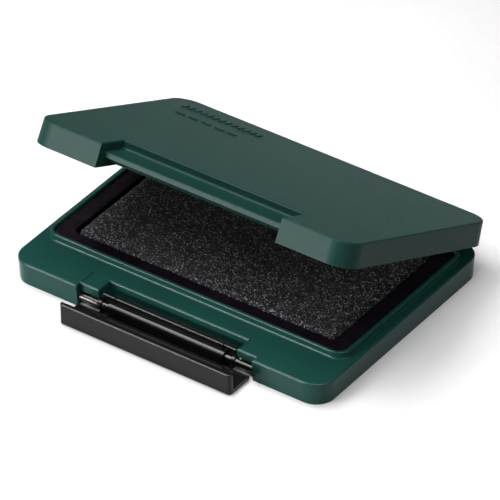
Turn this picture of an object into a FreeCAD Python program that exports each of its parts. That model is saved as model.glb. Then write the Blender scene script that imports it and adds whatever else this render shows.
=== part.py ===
import FreeCAD, Part

import math
import os

# Ink pad: a flat plastic case with a hinged lid, a front latch and an inked pad in a tray.
# Millimetres. Origin: centre of the base's underside. +X right, -Y front (latch side), +Z up.
# Written in its resting pose: the lid stands a little open and the latch is folded down.

# ---- driving dimensions ----
WIDTH = 110.0            # case, left to right
DEPTH = 81.0             # base, front to back
BASE_HEIGHT = 7.3        # underside to the flange the lid closes on
LID_HEIGHT = 7.4         # lid rim to lid top
LID_OPEN_DEG = 25.3      # how far the lid stands open in the resting pose
PAD_WIDTH = 90.0         # inked surface
PAD_DEPTH = 50.0

# ---- case walls ----
SKIRT = 1.6              # outer wall of the base
FLANGE_PLATE = 1.5       # top plate of the base, under the flange
FLOOR = 1.2              # floor of the tray well
CORNER_R = 6.6           # vertical corners of the case
DRAFT = 0.45             # how far the walls lean in over one height
EDGE_SOFT = 0.5          # small round on the outer edges

# ---- raised lip round the well ----
LIP_HALF_X = 52.4
LIP_FRONT = -26.5
LIP_BACK = 34.3
LIP_UP = 2.2             # above the flange
LIP_THICK = 1.1
LIP_R = 4.0
LIP_FOOT_R = 0.45        # hollow round where the lip meets the flange
LIP_EDGE_R = 0.33

# ---- latch seat at the front of the base ----
SEAT_HALF_X = 30.8       # full seat, pin to pin
SEAT_DEEP_HALF_X = 24.3  # middle, cut right through for the lever
SEAT_DEEP_BACK = -33.1
SEAT_BRIDGE_BACK = -38.5  # front of the bridge over each end of the pin
SEAT_BRIDGE_UNDER = 4.6
PIN_BOSS = 3.6           # thickness of the wall that holds each pin end
PIN_END_WALL = 1.0       # plastic left beyond each end of the pin
MARK_DROP = 0.2          # shallow square set into the flange behind each bridge
MARK_SIDE_GAP = 0.4      # from the square to the edges round it
MARK_EDGE_GAP = 0.8
HOLLOW_BAYS = 5          # pockets along the back of the underside

# ---- latch ----
PIVOT_Y = -38.4
PIVOT_Z = 2.6
PIN_R = 1.2
PIN_PLAY = 0.05
BARREL_R = 2.0
LATCH_HALF_X = 30.0
LATCH_BARREL_HALF_X = 20.2
LATCH_EAR_HALF_X = 23.3  # ends of the heel, past the barrel
LATCH_COLLAR = 0.6       # ring round the pin at each end of the heel
LATCH_UNDER = 0.15       # clearance under the folded-down latch
LATCH_PLATE = 1.45
LATCH_REACH = 11.4       # pivot to the outside of the hook wall
LATCH_HOOK_UP = 7.1      # height of the hook wall, folded down
LATCH_HEEL_TOP = 6.05
LATCH_HEEL_BACK = -36.5
LATCH_HEEL_THICK = 1.1
LATCH_TONGUE_HALF_X = 18.7
LATCH_SLOT = 0.45        # narrow slots that free the tongue of the heel
LATCH_SLOT_DOWN = 0.4    # how far the slots cut into the barrel
LATCH_STRAP_CLEAR = 0.25  # pin to the strap that joins plate and heel
LATCH_HEEL_R = 0.33
LATCH_COLLAR_WALL = 0.5
LATCH_STRAP_UP = 0.1     # strap's underside above the plate's
LATCH_JOIN = 0.5         # overlap where the strap and the collars run into the rest
LATCH_CORNER_R = 1.0     # upright corners of the hook wall
LATCH_EDGE_R = 0.35

# ---- lid ----
LID_HALF_X = 55.2
LID_FRONT = -39.1
LID_BACK = 39.6
LID_GAP = 0.1            # rim to flange when closed
LID_WALL = 1.8
LID_PLATE = 1.6
LID_NOTCH_HALF_X = 31.35
LID_NOTCH_BACK = -26.9
LIP_CLEAR = 0.3          # lid to lip when closed
LID_LEDGE_DROP = 2.6     # lid top down to the ledge that the latch hooks over
NOSE_FRONT = -36.2
NOSE_FACE = 1.5
NOSE_EDGE_R = 0.3
NOSE_BEAD_R = 0.45       # bead along the foot of the wall under the nose
NOSE_RIM_WIDE = 1.15     # wall under the nose, measured level: at the rim and at the roof
NOSE_ROOF_WIDE = 2.9
NOTCH_FOOT_R = 0.9       # hollow round where the notch's back wall meets the ledge
NOSE_FOOT = -27.95       # where the sloping wall under the nose meets the rim
SEAL_WALL = 1.2          # rib under the lid that closes round the pad
SEAL_GAP = 0.35
SEAL_SIDE = 1.6          # outside of the rib past the tray opening, at the sides
SEAL_FRONT = 1.4         # and at the front and back
SEAL_R = 3.0
MARK_RISE = 0.25         # raised bars on the lid top
MARK_ROWS = (            # count, first x, y, bar width, bar depth, pitch
    (13, -48.0, 28.2, 1.1, 2.8, 2.2),
    (5, -44.6, 20.0, 3.0, 0.9, 4.6),
)

# ---- hinge ----
HINGE_Y = 42.7
HINGE_Z = 2.9
HINGE_PIN_R = 0.9
HINGE_BARREL_R = 2.1
HINGE_X = 35.0           # centre of each hinge
HINGE_ARM_HALF = 6.0     # lid arm, half width
HINGE_CHEEK = 2.6        # each base cheek
HINGE_SIDE_PLAY = 0.25
HINGE_ARM_IN = 0.5       # how far the arms run into the lid wall
HINGE_ARM_LOW = 1.5      # height of the arm above the rim, outside and at the lid wall
HINGE_ARM_HIGH = 5.0

# ---- pad tray ----
TRAY_PLAY = 0.15
TRAY_FLOOR = 1.0
TRAY_DOWN = 0.7          # border top below the lip top
TRAY_BORDER = 1.2
TRAY_WALL = 1.1
TRAY_OPEN_R = 2.0
TRAY_OPEN_HALF_X = 46.2
TRAY_OPEN_FRONT = -21.3
TRAY_OPEN_BACK = 29.2

# ---- pad ----
CLOTH = 0.6
PAD_PROUD = 0.35         # cloth top above the tray border
PAD_EDGE_R = 0.9
PAD_R = 2.0              # upright corners of the cloth and of the felt inside it
FELT_R = 1.4

# ---- worked out ----
FLANGE_Z = BASE_HEIGHT
LIP_TOP = FLANGE_Z + LIP_UP
LID_RIM = FLANGE_Z + LID_GAP
LID_TOP = LID_RIM + LID_HEIGHT
LEDGE_Z = LID_TOP - LID_LEDGE_DROP
BORDER_TOP = LIP_TOP - TRAY_DOWN
PAD_MID_Y = (TRAY_OPEN_FRONT + TRAY_OPEN_BACK) / 2.0
PAD_FLOOR = FLOOR + TRAY_FLOOR
PAD_TOP = BORDER_TOP + PAD_PROUD
OVER = 1.0               # how far a cutter runs past the surface it opens
LONG = 5.0

Vec = FreeCAD.Vector
X_AXIS = Vec(1, 0, 0)


def block(x0, x1, y0, y1, z0, z1):
    return Part.makeBox(x1 - x0, y1 - y0, z1 - z0, Vec(x0, y0, z0))


def rounded_outline(x0, x1, y0, y1, r, z):
    """A rectangle with round corners, as one closed wire at height z."""
    k = r * (1.0 - math.sqrt(0.5))
    edges = [
        Part.LineSegment(Vec(x0 + r, y0, z), Vec(x1 - r, y0, z)),
        Part.Arc(Vec(x1 - r, y0, z), Vec(x1 - k, y0 + k, z), Vec(x1, y0 + r, z)),
        Part.LineSegment(Vec(x1, y0 + r, z), Vec(x1, y1 - r, z)),
        Part.Arc(Vec(x1, y1 - r, z), Vec(x1 - k, y1 - k, z), Vec(x1 - r, y1, z)),
        Part.LineSegment(Vec(x1 - r, y1, z), Vec(x0 + r, y1, z)),
        Part.Arc(Vec(x0 + r, y1, z), Vec(x0 + k, y1 - k, z), Vec(x0, y1 - r, z)),
        Part.LineSegment(Vec(x0, y1 - r, z), Vec(x0, y0 + r, z)),
        Part.Arc(Vec(x0, y0 + r, z), Vec(x0 + k, y0 + k, z), Vec(x0 + r, y0, z)),
    ]
    return Part.Wire([edge.toShape() for edge in edges])


def rounded_block(x0, x1, y0, y1, z0, z1, r):
    face = Part.Face(rounded_outline(x0, x1, y0, y1, r, z0))
    return face.extrude(Vec(0, 0, z1 - z0))


def drafted_block(x0, x1, y0, y1, z0, z1, r, bottom_in=0.0, top_in=0.0):
    """A rounded block whose walls lean in by bottom_in at z0 or by top_in at z1."""
    wires = []
    for z, inset in ((z0, bottom_in), (z1, top_in)):
        wires.append(rounded_outline(x0 + inset, x1 - inset, y0 + inset, y1 - inset, r - inset, z))
    return Part.makeLoft(wires, True, True)


def bar_along_x(x0, x1, outline):
    """Extrude a closed outline of (y, z) points along X."""
    points = [Vec(x0, y, z) for y, z in outline]
    face = Part.Face(Part.makePolygon(points + points[:1]))
    return face.extrude(Vec(x1 - x0, 0, 0))


def rod_along_x(x0, x1, y, z, r):
    return Part.makeCylinder(r, x1 - x0, Vec(x0, y, z), X_AXIS)


def soften(shape, radius, wanted):
    """Round every edge of shape that wanted(edge) picks."""
    edges = [edge for edge in shape.Edges if wanted(edge)]
    return shape.makeFillet(radius, edges)


def spans_z(edge, low, high):
    return low <= edge.BoundBox.ZMin and edge.BoundBox.ZMax <= high


def at_height(edge, z):
    return spans_z(edge, z - 1e-4, z + 1e-4)


def long_edge(edge):
    """True for a straight edge along X that is longer than LONG."""
    box = edge.BoundBox
    return box.XLength > LONG and box.YLength < 1e-6 and box.ZLength < 1e-6


def runs_at(edge, y, z):
    """True for a long edge that lies at this y and this height."""
    box = edge.BoundBox
    return long_edge(edge) and abs(box.YMin - y) < 1e-4 and at_height(edge, z)


def upright_at(edge, y):
    """True for a vertical edge that stands at this y."""
    box = edge.BoundBox
    return box.ZLength > 1.0 and abs(box.YMin - y) < 1e-4 and abs(box.YMax - y) < 1e-4


def mirrored(shape):
    return shape.mirror(Vec(0, 0, 0), X_AXIS)


def both_sides(shape):
    return [shape, mirrored(shape)]


# ---- base ----

def round_the_lip(edge):
    """True for an edge of the lip's own outline, not of the flange or the latch seat."""
    box = edge.BoundBox
    inside_x = max(abs(box.XMin), abs(box.XMax)) < LIP_HALF_X + 0.1
    return inside_x and box.YMin > LIP_FRONT - 0.1 and box.YMax < LIP_BACK + 0.1


def latch_seat():
    """The space that the latch needs: a deep middle, and at each end a pocket under a bridge."""
    front = -DEPTH / 2.0 - OVER
    below = -OVER
    above = FLANGE_Z + OVER
    middle = block(-SEAT_DEEP_HALF_X, SEAT_DEEP_HALF_X, front, SEAT_DEEP_BACK, below, above)
    face_cut = block(-SEAT_HALF_X, SEAT_HALF_X, front, SEAT_BRIDGE_BACK, below, above)
    under = block(-SEAT_HALF_X, SEAT_HALF_X, front, PIVOT_Y + BARREL_R, below, SEAT_BRIDGE_UNDER)
    return middle.fuse([face_cut, under]).removeSplitter()


def base_hollows():
    """Pockets moulded into the underside, between the outer wall and the well."""
    top = FLANGE_Z - FLANGE_PLATE
    well_front = LIP_FRONT - SKIRT
    well_back = LIP_BACK + LIP_THICK
    skirt_front = -DEPTH / 2.0 + SKIRT + DRAFT
    skirt_back = DEPTH / 2.0 - SKIRT - DRAFT
    side = WIDTH / 2.0 - CORNER_R
    seat_side = SEAT_HALF_X + PIN_BOSS
    behind_seat = seat_side - SKIRT
    hollows = both_sides(block(seat_side, side, skirt_front, well_front, -OVER, top))
    hollows.append(block(-behind_seat, behind_seat, SEAT_DEEP_BACK + SKIRT, well_front, -OVER, top))
    pitch = 2.0 * side / HOLLOW_BAYS
    for bay in range(HOLLOW_BAYS):
        x0 = -side + bay * pitch + SKIRT / 2.0
        hollows.append(block(x0, x0 + pitch - SKIRT, well_back, skirt_back, -OVER, top))
    return hollows


def hinge_cheeks():
    """Two cheeks of each hinge, on the back of the base."""
    cheeks = []
    inner = HINGE_ARM_HALF + HINGE_SIDE_PLAY
    for centre in (-HINGE_X, HINGE_X):
        for x0 in (centre - inner - HINGE_CHEEK, centre + inner):
            x1 = x0 + HINGE_CHEEK
            barrel = rod_along_x(x0, x1, HINGE_Y, HINGE_Z, HINGE_BARREL_R)
            web = block(x0, x1, DEPTH / 2.0 - SKIRT, HINGE_Y,
                        HINGE_Z - HINGE_BARREL_R, HINGE_Z + HINGE_BARREL_R)
            hole = rod_along_x(x0, x1, HINGE_Y, HINGE_Z, HINGE_PIN_R)
            cheeks.append(barrel.fuse(web).removeSplitter().cut(hole))
    return cheeks


def base_case():
    half_x = WIDTH / 2.0
    half_y = DEPTH / 2.0
    body = drafted_block(-half_x, half_x, -half_y, half_y, 0.0, FLANGE_Z, CORNER_R, bottom_in=DRAFT)
    lip = rounded_block(-LIP_HALF_X, LIP_HALF_X, LIP_FRONT, LIP_BACK, FLANGE_Z - OVER, LIP_TOP, LIP_R)
    well_x = LIP_HALF_X - LIP_THICK
    well = rounded_block(-well_x, well_x, LIP_FRONT + LIP_THICK, LIP_BACK - LIP_THICK,
                         FLOOR, LIP_TOP + OVER, LIP_R - LIP_THICK)
    body = body.cut(latch_seat())
    body = soften(body, EDGE_SOFT, lambda edge: at_height(edge, FLANGE_Z))
    body = body.fuse(lip).removeSplitter()
    body = soften(body, LIP_FOOT_R, lambda edge: at_height(edge, FLANGE_Z) and round_the_lip(edge))
    body = body.cut(well).cut(base_hollows())
    body = soften(body, LIP_EDGE_R, lambda edge: at_height(edge, LIP_TOP))
    bridge_marks = block(SEAT_DEEP_HALF_X + MARK_SIDE_GAP, SEAT_HALF_X, SEAT_BRIDGE_BACK + MARK_EDGE_GAP,
                         SEAT_DEEP_BACK + MARK_EDGE_GAP, FLANGE_Z - MARK_DROP, FLANGE_Z + OVER)
    body = body.cut(both_sides(bridge_marks))
    body = body.fuse(hinge_cheeks())
    body = body.cut(latch_pin())
    return body.removeSplitter()


# ---- latch and its pin ----

def latch_pin():
    half = SEAT_HALF_X + PIN_BOSS - PIN_END_WALL
    return rod_along_x(-half, half, PIVOT_Y, PIVOT_Z, PIN_R)


def latch():
    """Folded down: a plate lying forward, a hook wall standing at its front, and a heel."""
    front = PIVOT_Y - LATCH_REACH
    plate_top = LATCH_UNDER + LATCH_PLATE
    plate_back = PIVOT_Y - BARREL_R
    section = [
        (front, LATCH_UNDER),
        (plate_back, LATCH_UNDER),
        (plate_back, plate_top),
        (front + LATCH_PLATE, plate_top),
        (front + LATCH_PLATE, LATCH_HOOK_UP),
        (front, LATCH_HOOK_UP),
    ]
    channel = bar_along_x(-LATCH_HALF_X, LATCH_HALF_X, section)
    hub_x = LATCH_BARREL_HALF_X
    ear_x = LATCH_EAR_HALF_X
    barrel = rod_along_x(-hub_x, hub_x, PIVOT_Y, PIVOT_Z, BARREL_R)
    strap_low = LATCH_UNDER + LATCH_STRAP_UP
    strap_top = PIVOT_Z - PIN_R - LATCH_STRAP_CLEAR
    strap = block(-ear_x, ear_x, plate_back - LATCH_JOIN, LATCH_HEEL_BACK, strap_low, strap_top)
    heel_front = LATCH_HEEL_BACK - LATCH_HEEL_THICK
    heel = block(-ear_x, ear_x, heel_front, LATCH_HEEL_BACK, strap_low, LATCH_HEEL_TOP)
    heel = soften(heel, LATCH_HEEL_R, lambda edge: long_edge(edge) and at_height(edge, LATCH_HEEL_TOP))
    channel = soften(channel, LATCH_CORNER_R, lambda edge: upright_at(edge, front))
    channel = soften(channel, LATCH_EDGE_R, long_edge)
    collar_r = PIN_R + LATCH_COLLAR_WALL
    collar = rod_along_x(ear_x - LATCH_JOIN, ear_x + LATCH_COLLAR, PIVOT_Y, PIVOT_Z, collar_r)
    body = channel.fuse([barrel, strap, heel] + both_sides(collar)).removeSplitter()
    slot_x = LATCH_TONGUE_HALF_X
    slot = block(slot_x, slot_x + LATCH_SLOT, heel_front - OVER, LATCH_HEEL_BACK + OVER,
                 PIVOT_Z + BARREL_R - LATCH_SLOT_DOWN, LATCH_HEEL_TOP + OVER)
    body = body.cut(both_sides(slot))
    bore_x = ear_x + LATCH_COLLAR + OVER
    bore = rod_along_x(-bore_x, bore_x, PIVOT_Y, PIVOT_Z, PIN_R + PIN_PLAY)
    return body.cut(bore).removeSplitter()


# ---- lid ----

def lid_bay():
    """Solid block round the notch, which the notch and the space under it are cut from."""
    side = LID_NOTCH_HALF_X + LID_WALL
    inner_back = LID_NOTCH_BACK + LID_WALL
    return block(-side, side, LID_FRONT + LID_WALL / 2.0, inner_back, LID_RIM, LID_TOP - LID_PLATE / 2.0)


def lid_notch():
    """Space in front of and above the nose, open to the front and the top."""
    half = LID_NOTCH_HALF_X
    front = LID_FRONT - OVER
    above = LID_TOP + OVER
    nose_low = LEDGE_Z - NOSE_FACE
    outline = [
        (front, above),
        (LID_NOTCH_BACK, above),
        (LID_NOTCH_BACK, LEDGE_Z),
        (NOSE_FRONT, LEDGE_Z),
        (NOSE_FRONT, nose_low),
        (NOSE_FOOT, LID_RIM),
        (NOSE_FOOT, LID_RIM - OVER),
        (front, LID_RIM - OVER),
    ]
    space = bar_along_x(-half, half, outline)
    space = soften(space, NOTCH_FOOT_R, lambda edge: runs_at(edge, LID_NOTCH_BACK, LEDGE_Z))
    space = soften(space, NOSE_EDGE_R, lambda edge: runs_at(edge, NOSE_FRONT, LEDGE_Z))
    return space.cut(rod_along_x(-half, half, NOSE_FOOT, LID_RIM + NOSE_BEAD_R, NOSE_BEAD_R))


def under_nose():
    """Hollow under the nose, behind its sloping wall."""
    half = LID_NOTCH_HALF_X
    rim_inner = NOSE_FOOT + NOSE_RIM_WIDE
    roof = LEDGE_Z - LID_PLATE
    slope_y = NOSE_FRONT + NOSE_ROOF_WIDE
    back = LID_NOTCH_BACK + LID_WALL + OVER
    outline = [
        (rim_inner, LID_RIM - OVER),
        (rim_inner, LID_RIM),
        (slope_y, roof),
        (back, roof),
        (back, LID_RIM - OVER),
    ]
    return bar_along_x(-half, half, outline)


def hinge_arms():
    """Lid arms that reach down behind the base to the hinge axis."""
    arms = []
    behind = HINGE_Y + HINGE_BARREL_R
    inner = HINGE_Y - HINGE_BARREL_R
    outline = [
        (inner, HINGE_Z),
        (behind, HINGE_Z),
        (behind, LID_RIM + HINGE_ARM_LOW),
        (LID_BACK - HINGE_ARM_IN, LID_RIM + HINGE_ARM_HIGH),
        (LID_BACK - HINGE_ARM_IN, LID_RIM),
        (inner, LID_RIM),
    ]
    for centre in (-HINGE_X, HINGE_X):
        x0 = centre - HINGE_ARM_HALF
        x1 = centre + HINGE_ARM_HALF
        arm = bar_along_x(x0, x1, outline)
        barrel = rod_along_x(x0, x1, HINGE_Y, HINGE_Z, HINGE_BARREL_R)
        bore = rod_along_x(x0, x1, HINGE_Y, HINGE_Z, HINGE_PIN_R + PIN_PLAY)
        arms.append(arm.fuse(barrel).removeSplitter().cut(bore))
    return arms


def lip_room():
    """Space that the lip of the base needs inside the closed lid."""
    return rounded_block(-LIP_HALF_X - LIP_CLEAR, LIP_HALF_X + LIP_CLEAR, LIP_FRONT - LIP_CLEAR,
                         LIP_BACK + LIP_CLEAR, LID_RIM - OVER, LIP_TOP + LIP_CLEAR, LIP_R + LIP_CLEAR)


def seal_rib():
    """Rib under the lid that comes down onto the tray border, round the pad."""
    x = TRAY_OPEN_HALF_X + SEAL_SIDE
    y0 = TRAY_OPEN_FRONT - SEAL_FRONT
    y1 = TRAY_OPEN_BACK + SEAL_FRONT
    low = BORDER_TOP + SEAL_GAP
    high = LID_TOP - LID_PLATE / 2.0
    ring = rounded_block(-x, x, y0, y1, low, high, SEAL_R)
    return ring.cut(rounded_block(-x + SEAL_WALL, x - SEAL_WALL, y0 + SEAL_WALL, y1 - SEAL_WALL,
                                  low - OVER, high + OVER, SEAL_R - SEAL_WALL))


def lid_marks():
    """A row of small upright bars and a row of dashes, raised in the back left corner of the lid top."""
    marks = []
    low = LID_TOP - LID_PLATE / 2.0
    for count, start_x, y, long_x, long_y, pitch in MARK_ROWS:
        for number in range(count):
            x0 = start_x + number * pitch
            marks.append(block(x0, x0 + long_x, y, y + long_y, low, LID_TOP + MARK_RISE))
    return marks


def lid_closed():
    half = LID_HALF_X
    shell = drafted_block(-half, half, LID_FRONT, LID_BACK, LID_RIM, LID_TOP, CORNER_R + 0.3, top_in=DRAFT)
    shell = shell.cut(lid_notch())
    shell = soften(shell, EDGE_SOFT, lambda edge: at_height(edge, LID_TOP))
    inner = half - LID_WALL
    cavity = rounded_block(-inner, inner, LID_FRONT + LID_WALL, LID_BACK - LID_WALL,
                           LID_RIM - OVER, LID_TOP - LID_PLATE, CORNER_R - LID_WALL)
    cavity = cavity.cut(lid_bay())
    shell = shell.cut(cavity)
    shell = shell.cut([under_nose(), lip_room()])
    shell = shell.fuse(seal_rib())
    shell = shell.fuse(hinge_arms() + lid_marks())
    return shell.removeSplitter()


def lid():
    shape = lid_closed()
    shape.rotate(Vec(0, HINGE_Y, HINGE_Z), X_AXIS, -LID_OPEN_DEG)
    return shape


def hinge_pins():
    """One pin for each hinge, fixed in the base cheeks."""
    half = HINGE_ARM_HALF + HINGE_SIDE_PLAY + HINGE_CHEEK
    pins = [rod_along_x(c - half, c + half, HINGE_Y, HINGE_Z, HINGE_PIN_R) for c in (-HINGE_X, HINGE_X)]
    return Part.makeCompound(pins)


# ---- pad and tray ----

def pad_tray():
    """Shallow tray with a wide border; it drops into the well of the base."""
    x = LIP_HALF_X - LIP_THICK - TRAY_PLAY
    y0 = LIP_FRONT + LIP_THICK + TRAY_PLAY
    y1 = LIP_BACK - LIP_THICK - TRAY_PLAY
    outer_r = LIP_R - LIP_THICK - TRAY_PLAY
    body = rounded_block(-x, x, y0, y1, FLOOR, BORDER_TOP, outer_r)
    body = soften(body, EDGE_SOFT, lambda edge: at_height(edge, BORDER_TOP))
    opening = rounded_block(-TRAY_OPEN_HALF_X, TRAY_OPEN_HALF_X, TRAY_OPEN_FRONT, TRAY_OPEN_BACK,
                            PAD_FLOOR, BORDER_TOP + OVER, TRAY_OPEN_R)
    body = body.cut(opening)
    groove_outer = rounded_block(-x + TRAY_WALL, x - TRAY_WALL, y0 + TRAY_WALL, y1 - TRAY_WALL,
                                 FLOOR - OVER, BORDER_TOP - TRAY_BORDER, outer_r - TRAY_WALL)
    groove_x = TRAY_OPEN_HALF_X + TRAY_WALL
    groove_inner = rounded_block(-groove_x, groove_x, TRAY_OPEN_FRONT - TRAY_WALL,
                                 TRAY_OPEN_BACK + TRAY_WALL, FLOOR - 2.0 * OVER, BORDER_TOP,
                                 TRAY_OPEN_R + TRAY_WALL)
    return body.cut(groove_outer.cut(groove_inner)).removeSplitter()


def pad_block(inset, z0, z1, r):
    x = PAD_WIDTH / 2.0 - inset
    y = PAD_DEPTH / 2.0 - inset
    return rounded_block(-x, x, PAD_MID_Y - y, PAD_MID_Y + y, z0, z1, r)


def felt_core():
    return pad_block(CLOTH, PAD_FLOOR, PAD_TOP - CLOTH, FELT_R)


def pad_cloth():
    outer = pad_block(0.0, PAD_FLOOR, PAD_TOP, PAD_R)
    outer = soften(outer, PAD_EDGE_R, lambda edge: at_height(edge, PAD_TOP))
    return outer.cut(felt_core())


PIECES = {
    "base_case": base_case,
    "lid": lid,
    "latch": latch,
    "latch_pin": latch_pin,
    "hinge_pins": hinge_pins,
    "pad_tray": pad_tray,
    "felt_core": felt_core,
    "pad_cloth": pad_cloth,
}


def main():
    os.makedirs("parts", exist_ok=True)
    for name, make in PIECES.items():
        shape = make()
        box = shape.BoundBox
        solids = len(shape.Solids)
        print(f"{name}: {solids} solid(s), valid {shape.isValid()}, {shape.Volume:.1f} mm3, "
              f"z {box.ZMin:.2f} to {box.ZMax:.2f}, y {box.YMin:.2f} to {box.YMax:.2f}")
        shape.exportStep(os.path.join("parts", name + ".step"))


main()
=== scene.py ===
import math

import bpy
import numpy as np
from mathutils import Matrix, Vector


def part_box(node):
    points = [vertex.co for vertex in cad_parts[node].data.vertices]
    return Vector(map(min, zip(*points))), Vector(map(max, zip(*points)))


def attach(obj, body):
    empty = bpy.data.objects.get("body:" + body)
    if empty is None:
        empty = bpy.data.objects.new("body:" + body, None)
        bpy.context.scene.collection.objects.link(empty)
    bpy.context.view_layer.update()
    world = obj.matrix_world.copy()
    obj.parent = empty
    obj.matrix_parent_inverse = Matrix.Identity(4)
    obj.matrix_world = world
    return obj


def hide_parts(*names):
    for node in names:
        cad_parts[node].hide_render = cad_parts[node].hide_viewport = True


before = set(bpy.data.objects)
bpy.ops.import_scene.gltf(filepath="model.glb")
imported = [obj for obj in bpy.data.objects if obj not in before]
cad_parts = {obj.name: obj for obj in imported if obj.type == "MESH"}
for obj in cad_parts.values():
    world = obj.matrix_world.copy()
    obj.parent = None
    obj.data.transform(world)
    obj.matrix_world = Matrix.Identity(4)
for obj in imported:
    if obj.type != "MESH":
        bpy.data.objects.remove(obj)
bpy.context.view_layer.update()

MM = 0.001

# ---- camera ----
CAMERA_AZIMUTH = math.radians(36.06)
CAMERA_ELEVATION = math.radians(36.27)
CAMERA_ROLL = math.radians(-0.76)
CAMERA_DISTANCE = 1825.7 * MM
CAMERA_AIM = (0.97 * MM, 6.86 * MM)   # right of and above the origin, across the view
CAMERA_LENS = 456.5
SENSOR_WIDTH = 36.0
CLIP_NEAR = 0.05
CLIP_FAR = 20.0


def make_camera():
    az, el, roll = CAMERA_AZIMUTH, CAMERA_ELEVATION, CAMERA_ROLL
    back = Vector((math.sin(az) * math.cos(el), -math.cos(az) * math.cos(el), math.sin(el)))
    level = Vector((math.cos(az), math.sin(az), 0.0))
    upward = back.cross(level)
    right = math.cos(roll) * level + math.sin(roll) * upward
    up = -math.sin(roll) * level + math.cos(roll) * upward
    data = bpy.data.cameras.new("camera")
    data.lens = CAMERA_LENS
    data.sensor_width = SENSOR_WIDTH
    data.clip_start = CLIP_NEAR
    data.clip_end = CLIP_FAR
    camera = bpy.data.objects.new("camera", data)
    place = right * CAMERA_AIM[0] + up * CAMERA_AIM[1] + back * CAMERA_DISTANCE
    turn = Matrix((right, up, back)).transposed().to_4x4()
    camera.matrix_world = Matrix.Translation(place) @ turn
    bpy.context.scene.collection.objects.link(camera)
    bpy.context.scene.camera = camera


# ---- light and floor ----

# name: (azimuth from the front towards the left, elevation, distance, width, height, power, spread),
# with angles in degrees, lengths in metres and power in watts
LIGHTS = {
    "softbox_above": (180.0, 82.0, 0.5, 0.30, 0.30, 0.58, 80.0),
    "softbox_left": (90.0, 62.0, 0.5, 0.26, 0.26, 0.64, 80.0),
    "softbox_front_left": (35.0, 60.0, 0.5, 0.26, 0.26, 0.40, 80.0),
    "softbox_front_right": (-35.0, 60.0, 0.5, 0.26, 0.26, 0.12, 80.0),
    "strip_front_left": (29.0, 8.0, 0.7, 0.34, 0.12, 9.6, 180.0),
    "softbox_right_front": (-62.0, 32.0, 0.7, 0.30, 0.20, 1.9, 180.0),
    "softbox_right": (-95.0, 40.0, 0.7, 0.30, 0.24, 0.8, 180.0),
}
LIGHT_AIM = Vector((0.0, 0.01, 0.01))
WORLD_COLOUR = (0.9, 0.95, 1.0, 1.0)
WORLD_STRENGTH = 0.04


def make_lights():
    world = bpy.data.worlds.new("studio")
    bpy.context.scene.world = world
    world.use_nodes = True
    background = world.node_tree.nodes["Background"]
    background.inputs["Color"].default_value = WORLD_COLOUR
    background.inputs["Strength"].default_value = WORLD_STRENGTH
    for name, (azimuth, elevation, distance, width, height, power, spread) in LIGHTS.items():
        az, el = math.radians(azimuth), math.radians(elevation)
        towards = Vector((-math.sin(az) * math.cos(el), -math.cos(az) * math.cos(el), math.sin(el)))
        data = bpy.data.lights.new(name, "AREA")
        data.shape = "RECTANGLE"
        data.size, data.size_y = width, height
        data.energy = power
        data.spread = math.radians(spread)
        light = bpy.data.objects.new(name, data)
        light.location = LIGHT_AIM + towards * distance
        light.rotation_mode = "QUATERNION"
        light.rotation_quaternion = (-towards).to_track_quat("-Z", "Y")
        bpy.context.scene.collection.objects.link(light)


FLOOR_PALE = (0.40, 0.40, 0.40)
FLOOR_FLECK = (0.41, 0.41, 0.41)
FLOOR_HALF = 1.5
FLOOR_DROP = 0.02 * MM       # keeps the floor just clear of the case's underside


def make_floor():
    mesh = bpy.data.meshes.new("floor")
    half = FLOOR_HALF
    corners = [(-half, -half, 0), (half, -half, 0), (half, half, 0), (-half, half, 0)]
    mesh.from_pydata(corners, [], [(0, 1, 2, 3)])
    floor = bpy.data.objects.new("floor", mesh)
    floor.location.z = -FLOOR_DROP
    bpy.context.scene.collection.objects.link(floor)
    nodes = Nodes("floor_paper")
    nodes.link(nodes.ramp(nodes.noise(200.0), [(0.3, FLOOR_PALE), (0.7, FLOOR_FLECK)]),
               nodes.shader.inputs["Base Color"])
    nodes.setting(Roughness=0.95, Specular_IOR_Level=0.0)
    mesh.materials.append(nodes.material)


# ---- materials ----

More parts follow.
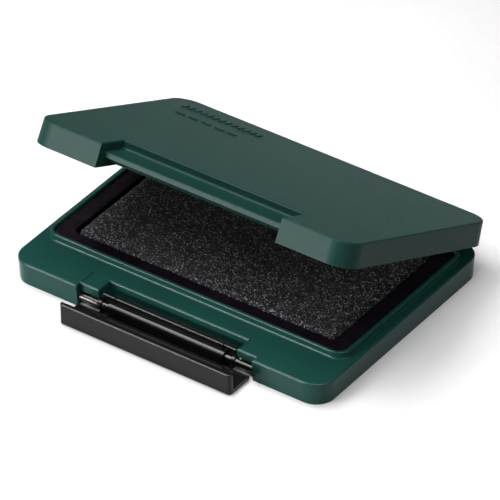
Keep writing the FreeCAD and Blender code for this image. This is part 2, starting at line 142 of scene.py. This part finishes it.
class Nodes:
    """A material's node tree, with short calls for the nodes used here."""

    def __init__(self, name):
        self.material = bpy.data.materials.new(name)
        self.material.use_nodes = True
        self.tree = self.material.node_tree
        self.shader = self.tree.nodes["Principled BSDF"]
        self.position = self.tree.nodes.new("ShaderNodeTexCoord").outputs["Object"]

    def link(self, output, target):
        self.tree.links.new(output, target)

    def noise(self, scale, detail=2.0, rough=0.5, stretch=(1.0, 1.0, 1.0)):
        """Noise with the given number of features per metre."""
        mapping = self.tree.nodes.new("ShaderNodeMapping")
        mapping.inputs["Scale"].default_value = stretch
        self.link(self.position, mapping.inputs["Vector"])
        node = self.tree.nodes.new("ShaderNodeTexNoise")
        node.inputs["Scale"].default_value = scale
        node.inputs["Detail"].default_value = detail
        node.inputs["Roughness"].default_value = rough
        self.link(mapping.outputs["Vector"], node.inputs["Vector"])
        return node.outputs["Fac"]

    def cells(self, scale):
        """Irregular cells, that many per metre.

        Gives the distance from each cell's middle, and a random grey for each cell."""
        node = self.tree.nodes.new("ShaderNodeTexVoronoi")
        node.inputs["Scale"].default_value = scale
        self.link(self.position, node.inputs["Vector"])
        grey = self.tree.nodes.new("ShaderNodeSeparateColor")
        self.link(node.outputs["Color"], grey.inputs["Color"])
        return node.outputs["Distance"], grey.outputs["Red"]

    def ramp(self, value, stops):
        node = self.tree.nodes.new("ShaderNodeValToRGB")
        elements = node.color_ramp.elements
        while len(elements) < len(stops):
            elements.new(0.5)
        for element, (at, colour) in zip(elements, stops):
            element.position = at
            element.color = (*colour, 1.0)
        self.link(value, node.inputs["Fac"])
        return node.outputs["Color"]

    def grey_ramp(self, value, low, high, at=(0.35, 0.65)):
        return self.ramp(value, [(at[0], (low,) * 3), (at[1], (high,) * 3)])

    def bump(self, height, distance, strength=1.0):
        node = self.tree.nodes.new("ShaderNodeBump")
        node.inputs["Distance"].default_value = distance
        node.inputs["Strength"].default_value = strength
        self.link(height, node.inputs["Height"])
        return node.outputs["Normal"]

    def setting(self, **values):
        for name, value in values.items():
            self.shader.inputs[name.replace("_", " ")].default_value = value


CASE_GREEN = (0.0045, 0.0245, 0.0205)
LID_GREEN = (0.0030, 0.0175, 0.0147)
GREEN_SWING = 0.07           # how far the green drifts to either side of its tone
GRAIN = 2500.0               # moulded grain, features per metre


def case_plastic(name, green, rough_low, rough_high, specular):
    """Dark green moulded plastic with a fine satin grain."""
    nodes = Nodes(name)
    tone = nodes.noise(60.0, detail=3.0)
    darker = [channel * (1.0 - GREEN_SWING) for channel in green]
    lighter = [channel * (1.0 + GREEN_SWING) for channel in green]
    nodes.link(nodes.ramp(tone, [(0.3, darker), (0.7, lighter)]), nodes.shader.inputs["Base Color"])
    rough = nodes.noise(1500.0, detail=3.0)
    nodes.link(nodes.grey_ramp(rough, rough_low, rough_high), nodes.shader.inputs["Roughness"])
    grain = nodes.noise(GRAIN, detail=1.0)
    nodes.link(nodes.bump(grain, 0.002 * MM, 0.5), nodes.shader.inputs["Normal"])
    nodes.setting(Specular_IOR_Level=specular)
    return nodes.material


def latch_plastic():
    """Black moulded plastic with a fine satin grain."""
    nodes = Nodes("latch_plastic")
    tone = nodes.noise(120.0, detail=3.0)
    nodes.link(nodes.ramp(tone, [(0.3, (0.0015, 0.0015, 0.0015)), (0.7, (0.0025, 0.0025, 0.0025))]),
               nodes.shader.inputs["Base Color"])
    rough = nodes.noise(900.0, detail=3.0)
    nodes.link(nodes.grey_ramp(rough, 0.18, 0.24), nodes.shader.inputs["Roughness"])
    grain = nodes.noise(GRAIN, detail=1.0)
    nodes.link(nodes.bump(grain, 0.003 * MM, 0.4), nodes.shader.inputs["Normal"])
    nodes.setting(Specular_IOR_Level=0.2)
    return nodes.material


def tray_plastic():
    """Smooth black plastic with a faint, uneven film of ink."""
    nodes = Nodes("tray_plastic")
    tone = nodes.noise(90.0, detail=4.0)
    nodes.link(nodes.ramp(tone, [(0.35, (0.0025, 0.0015, 0.0025)), (0.7, (0.005, 0.003, 0.005))]),
               nodes.shader.inputs["Base Color"])
    rough = nodes.noise(300.0, detail=4.0)
    nodes.link(nodes.grey_ramp(rough, 0.22, 0.30), nodes.shader.inputs["Roughness"])
    nodes.setting(Specular_IOR_Level=0.2)
    return nodes.material


def pin_steel():
    """Dark turned steel: fine rings round the pin."""
    nodes = Nodes("pin_steel")
    rings = nodes.noise(900.0, detail=3.0, stretch=(6.0, 0.3, 0.3))
    nodes.link(nodes.ramp(rings, [(0.3, (0.025, 0.024, 0.022)), (0.7, (0.05, 0.048, 0.044))]),
               nodes.shader.inputs["Base Color"])
    nodes.link(nodes.grey_ramp(rings, 0.25, 0.40), nodes.shader.inputs["Roughness"])
    nodes.setting(Metallic=1.0)
    return nodes.material


NAP_CELLS = 3700.0           # tufts per metre
NAP_TONES_AND_PAINTED_GLINTS = [                # share of the tufts up to here, and their colour: dark inked tufts, and the lightest tones are painted highlights on the nap's tips over a little dry ink
    (0.35, (0.0006, 0.0004, 0.0008)),
    (0.66, (0.003, 0.0025, 0.0035)),
    (0.86, (0.020, 0.019, 0.022)),
    (1.0, (0.19, 0.19, 0.195)),
]
TUFT_BUMP = 0.15 * MM


def ink_cloth():
    """Napped cloth soaked with black ink: grey specks on the tips of the nap, partly dry ink and partly
    painted highlights where the tips would catch the light.
    """
    nodes = Nodes("ink_cloth")
    tufts, chance = nodes.cells(NAP_CELLS)
    # the lighter tufts' colour is painted highlight on the nap's tips, over a little dry ink
    nodes.link(nodes.ramp(chance, NAP_TONES_AND_PAINTED_GLINTS), nodes.shader.inputs["Base Color"])
    nodes.link(nodes.grey_ramp(chance, 0.5, 0.8), nodes.shader.inputs["Roughness"])
    nodes.setting(Sheen_Weight=0.01, Sheen_Roughness=0.5, Specular_IOR_Level=0.16)
    nodes.link(nodes.bump(tufts, TUFT_BUMP), nodes.shader.inputs["Normal"])
    return nodes.material


def wool_felt():
    """Dense black wool felt, matted fibres, soaked through with ink."""
    nodes = Nodes("wool_felt")
    fibres = nodes.noise(1200.0, detail=5.0, rough=0.7, stretch=(1.0, 1.0, 2.5))
    nodes.link(nodes.ramp(fibres, [(0.35, (0.004, 0.003, 0.005)), (0.75, (0.035, 0.032, 0.036))]),
               nodes.shader.inputs["Base Color"])
    nodes.setting(Roughness=0.9, Sheen_Weight=0.3)
    nodes.link(nodes.bump(fibres, 0.2 * MM), nodes.shader.inputs["Normal"])
    return nodes.material


def paint(names, material):
    for name in names:
        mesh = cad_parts[name].data
        mesh.materials.clear()
        mesh.materials.append(material)


def paint_cad_nodes():
    paint(["base_case"], case_plastic("case_plastic", CASE_GREEN, 0.17, 0.21, 0.14))
    paint(["lid"], case_plastic("lid_plastic", LID_GREEN, 0.42, 0.48, 0.08))
    paint(["latch"], latch_plastic())
    paint(["pad_tray"], tray_plastic())
    paint(["latch_pin", "hinge_pins"], pin_steel())


# ---- the soft pieces of the pad ----

def spread(half, step):
    """Evenly spaced places from -half to half, about step apart."""
    return np.linspace(-half, half, int(round(2.0 * half / step)) + 1)


def draped_skin(xs, ys, z_top, round_across, round_down, rows):
    """Top and four sides of a soft-edged block as one grid: (points, faces, edge ring at the bottom).

    xs and ys are the places of the columns, which end at the sides.
    round_across and round_down are how far the top edges' rounding reaches in from the side and down.
    rows are the heights of the side rows, from just under the top edge down to the bottom."""
    half_x, half_y = xs[-1], ys[-1]
    nx, ny = len(xs), len(ys)
    grid = np.arange(nx * ny).reshape(ny, nx)
    top = np.stack(np.meshgrid(xs, ys), axis=-1).reshape(-1, 2)
    points = [np.column_stack([top, np.full(len(top), z_top)])]
    faces = [np.stack([grid[:-1, :-1], grid[:-1, 1:], grid[1:, 1:], grid[1:, :-1]], axis=-1).reshape(-1, 4)]
    ring = np.concatenate([grid[0, :-1], grid[:-1, -1], grid[-1, :0:-1], grid[:0:-1, 0]])
    outline = top[ring]
    count = nx * ny
    for z in rows:
        points.append(np.column_stack([outline, np.full(len(outline), z)]))
        lower = np.arange(count, count + len(ring))
        faces.append(np.stack([ring, lower, np.roll(lower, -1), np.roll(ring, -1)], axis=-1))
        ring = lower
        count += len(ring)
    points = np.concatenate(points)
    core = points.copy()
    core[:, 0] = np.clip(core[:, 0], -half_x + round_across, half_x - round_across)
    core[:, 1] = np.clip(core[:, 1], -half_y + round_across, half_y - round_across)
    core[:, 2] = np.minimum(core[:, 2], z_top - round_down)
    reach = np.array([round_across, round_across, round_down])
    away = (points - core) / reach
    away /= np.maximum(np.linalg.norm(away, axis=1, keepdims=True), 1e-9)
    return core + away * reach, np.concatenate(faces), ring


def new_piece(name, points, faces, material, body):
    mesh = bpy.data.meshes.new(name)
    mesh.from_pydata([tuple(p) for p in points], [], [tuple(int(i) for i in f) for f in faces])
    mesh.validate()
    mesh.update()
    mesh.polygons.foreach_set("use_smooth", np.ones(len(mesh.polygons), bool))
    mesh.materials.append(material)
    piece = bpy.data.objects.new(name, mesh)
    bpy.context.scene.collection.objects.link(piece)
    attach(piece, body)
    return piece


CROWN = 0.12 * MM            # how much higher the pad stands in its middle
ROUND_ROWS = 4               # side rows on the rounding, and on the straight side under it
STRAIGHT_ROWS = 8
ROUND_START = 0.25           # share of the rounding above the first side row

CLOTH_GRID = 0.36 * MM
CLOTH_THICK = 0.45 * MM
CLOTH_ROUND = (2.2 * MM, 1.3 * MM)         # the cloth's edge, outside: in from the side, and down
CLOTH_ROUND_INSIDE = (1.8 * MM, 1.0 * MM)
CLOTH_SEED = 7
NAP_HEIGHT = 0.035 * MM      # spread of the nap's tips
NAP_LIMIT = 2.5              # no tip further out than this many spreads

FELT_GRID = 1.0 * MM
FELT_PLAY = 0.1 * MM         # inside its CAD solid, at each side
FELT_ROUND = (1.6 * MM, 0.9 * MM)
FELT_SEED = 11
FELT_MATTED = 0.02 * MM      # spread of the dips between the fibres


def centred_box(node):
    """(half x, half y, middle y, bottom z, top z) of a CAD node."""
    low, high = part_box(node)
    return (high.x - low.x) / 2, (high.y - low.y) / 2, (high.y + low.y) / 2, low.z, high.z


def crown_of(points, half_x, half_y):
    """Rise of the crown over each point, most in the middle and none at the sides."""
    across = 1.0 - np.clip(points[:, 0] / half_x, -1, 1) ** 2
    along = 1.0 - np.clip(points[:, 1] / half_y, -1, 1) ** 2
    return CROWN * across * along


def side_rows(z_top, z_low, round_down):
    """Heights of the rows down the sides, closer together where the top edge is round."""
    near = np.linspace(z_top - round_down * ROUND_START, z_top - round_down, ROUND_ROWS)
    below = np.linspace(z_top - round_down, z_low, STRAIGHT_ROWS + 1)[1:]
    return np.concatenate([near, below])


def make_pad_cloth():
    """The inked cloth, stretched over the felt and tucked down its four sides."""
    half_x, half_y, middle, z_low, z_top = centred_box("pad_cloth")
    rows = side_rows(z_top, z_low, CLOTH_ROUND[1])
    xs = spread(half_x, CLOTH_GRID)
    ys = spread(half_y, CLOTH_GRID)
    outer, faces, ring = draped_skin(xs, ys, z_top, *CLOTH_ROUND, rows)
    inner_xs = xs * (1.0 - CLOTH_THICK / half_x)
    inner_ys = ys * (1.0 - CLOTH_THICK / half_y)
    inner_top = z_top - CLOTH_THICK
    inner_rows = rows - CLOTH_THICK
    inner = draped_skin(inner_xs, inner_ys, inner_top, *CLOTH_ROUND_INSIDE, inner_rows)[0]
    crown = crown_of(outer, half_x, half_y)
    outer[:, 2] += crown
    inner[:, 2] += crown
    inner[ring, 2] = z_low
    rng = np.random.default_rng(CLOTH_SEED)
    lift = rng.normal(0.0, NAP_HEIGHT, len(outer))
    normal = outer - inner
    normal /= np.linalg.norm(normal, axis=1, keepdims=True)
    lift[ring] = 0.0
    most = NAP_LIMIT * NAP_HEIGHT
    outer += normal * np.clip(lift, -most, most)[:, None]
    count = len(outer)
    hem = np.stack([ring, ring + count, np.roll(ring, -1) + count, np.roll(ring, -1)], axis=-1)
    points = np.concatenate([outer, inner])
    points[:, 1] += middle
    faces = np.concatenate([faces, faces[:, ::-1] + count, hem])
    cloth = new_piece("ink_cloth_cover", points, faces, ink_cloth(), "base")
    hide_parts("pad_cloth")


def make_felt():
    """The felt block that holds the ink, a little soft at its edges."""
    half_x, half_y, middle, z_low, z_top = centred_box("felt_core")
    rows = side_rows(z_top, z_low, FELT_ROUND[1])
    xs = spread(half_x - FELT_PLAY, FELT_GRID)
    ys = spread(half_y - FELT_PLAY, FELT_GRID)
    skin, faces, ring = draped_skin(xs, ys, z_top, *FELT_ROUND, rows)
    skin[:, 2] += crown_of(skin, half_x, half_y)
    rng = np.random.default_rng(FELT_SEED)
    matted = rng.normal(0.0, FELT_MATTED, len(skin))
    matted[ring] = 0.0
    skin[:, 2] -= np.abs(matted)
    skin[:, 1] += middle
    underside = tuple(ring[::-1])
    faces = [tuple(face) for face in faces] + [underside]
    felt = new_piece("felt_pad", skin, faces, wool_felt(), "base")
    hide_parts("felt_core")


make_camera()
make_lights()
make_floor()
paint_cad_nodes()
make_felt()
make_pad_cloth()
bpy.context.scene.view_settings.view_transform = "Standard"
